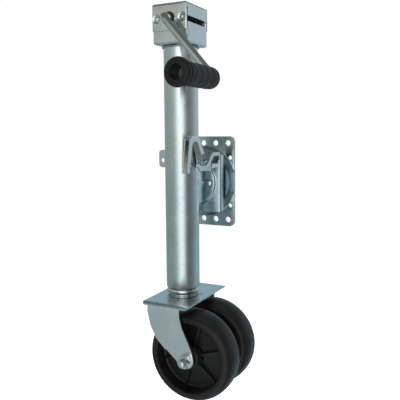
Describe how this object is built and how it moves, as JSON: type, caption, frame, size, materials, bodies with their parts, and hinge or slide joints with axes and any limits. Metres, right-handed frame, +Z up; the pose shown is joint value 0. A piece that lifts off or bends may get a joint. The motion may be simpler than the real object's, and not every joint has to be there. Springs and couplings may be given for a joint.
{
  "type": "trailer tongue jack",
  "caption": "Side-wind swing-up trailer tongue jack with bolt-on mounting plate, cranked lift tube, lock lever and dual-wheel swivel caster.",
  "frame": {"origin": "on the flat of the mounting plate's back face, on its vertical centre line, above the pressed dome", "axes": "+Y is the outward normal of the plate back face, +Z runs up the lift tube, +X is the lever side"},
  "size_m": [0.1772, 0.265, 0.6492],
  "materials": {
    "zinc_plate": "clear zinc plate, satin",
    "bare_steel": "turned or drawn steel",
    "bronze": "sintered bronze",
    "grip_plastic": "moulded, satin",
    "wheel_plastic": "moulded, slightly worn"
  },
  "bodies": {
    "plate": {"mounting_plate": "zinc_plate"},
    "jack": {"outer_tube": "zinc_plate", "tube_lug": "zinc_plate", "saddle_block": "zinc_plate", "swivel_bracket": "zinc_plate", "pivot_stud": "bare_steel", "pivot_spacer": "bare_steel", "pivot_washer": "bare_steel", "pivot_nut": "bare_steel", "stop_pin": "bare_steel", "lock_bracket": "zinc_plate", "lock_spring": "bare_steel", "lever_stud": "bare_steel", "lever_clip": "bare_steel", "gear_case_base": "zinc_plate", "gear_case_cover": "zinc_plate", "cover_rivet_front_left": "zinc_plate", "cover_rivet_front_right": "zinc_plate", "cover_rivet_back_left": "zinc_plate", "cover_rivet_back_right": "zinc_plate", "crank_bushing_front": "bronze", "crank_bushing_rear": "bronze", "bearing_race_upper": "bare_steel"},
    "crank": {"crank_rod": "zinc_plate", "bevel_pinion": "bare_steel", "crank_clip": "bare_steel", "grip_push_nut": "bare_steel"},
    "handle": {"grip": "grip_plastic"},
    "screw": {"lift_screw": "bare_steel", "bevel_gear": "bare_steel", "gear_pin": "bare_steel", "gear_washer": "bare_steel", "bearing_race_lower": "bare_steel", "bearing_balls": "bare_steel"},
    "leg": {"inner_tube": "zinc_plate", "screw_nut": "bronze", "leg_collar": "zinc_plate", "foot_plug": "bare_steel"},
    "caster": {"caster_plate": "zinc_plate", "caster_fork": "zinc_plate", "king_pin": "bare_steel", "king_pin_nut": "bare_steel", "swivel_washer": "bare_steel", "axle_bolt": "zinc_plate", "axle_nut": "zinc_plate", "axle_washer_near": "zinc_plate", "axle_washer_far": "zinc_plate", "wheel_spacer": "zinc_plate"},
    "near_wheel": {"wheel_near": "wheel_plastic", "wheel_bushing_near": "bare_steel"},
    "far_wheel": {"wheel_far": "wheel_plastic", "wheel_bushing_far": "bare_steel"},
    "lever": {"lock_lever": "zinc_plate"},
    "plunger": {"lock_plunger": "bare_steel", "lock_cross_pin": "bare_steel"}
  },
  "joints": [
    {"name": "swing", "type": "hinge", "parent": "plate", "child": "jack", "pos_m": [0, 0, -0.0777], "axis": [0, 1, 0], "range_deg": [-90, 90]},
    {"name": "crank_turn", "type": "hinge", "parent": "jack", "child": "crank", "pos_m": [0, -0.087, 0.1913], "axis": [0, 1, 0], "range_deg": [0, 15240]},
    {"name": "handle_spin", "type": "hinge", "parent": "crank", "child": "handle", "pos_m": [0.089, -0.207, 0.0898], "axis": [0, 1, 0], "continuous": true},
    {"name": "screw_spin", "type": "hinge", "parent": "jack", "child": "screw", "pos_m": [0, -0.087, -0.0777], "axis": [0, 0, 1], "range_deg": [-9150, 6]},
    {"name": "leg_travel", "type": "slide", "parent": "jack", "child": "leg", "axis": [0, 0, -1], "range_m": [0, 0.2541]},
    {"name": "caster_swivel", "type": "hinge", "parent": "leg", "child": "caster", "pos_m": [0, -0.087, -0.2667], "axis": [0, 0, 1], "continuous": true},
    {"name": "near_wheel_spin", "type": "hinge", "parent": "caster", "child": "near_wheel", "pos_m": [0.04, -0.122, -0.3577], "axis": [0, 1, 0], "continuous": true},
    {"name": "far_wheel_spin", "type": "hinge", "parent": "caster", "child": "far_wheel", "pos_m": [0.04, -0.052, -0.3577], "axis": [0, 1, 0], "continuous": true},
    {"name": "lever_pull", "type": "hinge", "parent": "jack", "child": "lever", "pos_m": [0.036, -0.0865, -0.0317], "axis": [-1, 0, 0], "range_deg": [0, 25], "stiffness_Nm_per_rad": 0.14, "springref_deg": -29.79},
    {"name": "plunger_travel", "type": "slide", "parent": "jack", "child": "plunger", "axis": [0, -1, 0], "range_m": [0, 0.0068], "deforming": ["lock_spring"]}
  ],
  "couplings": [
    {"joint": "screw_spin", "follows": "crank_turn", "ratio": -0.6},
    {"joint": "leg_travel", "follows": "crank_turn", "m_per_rad": 0.00095493},
    {"joint": "plunger_travel", "follows": "lever_pull", "m_per_rad": 0.0155}
  ]
}
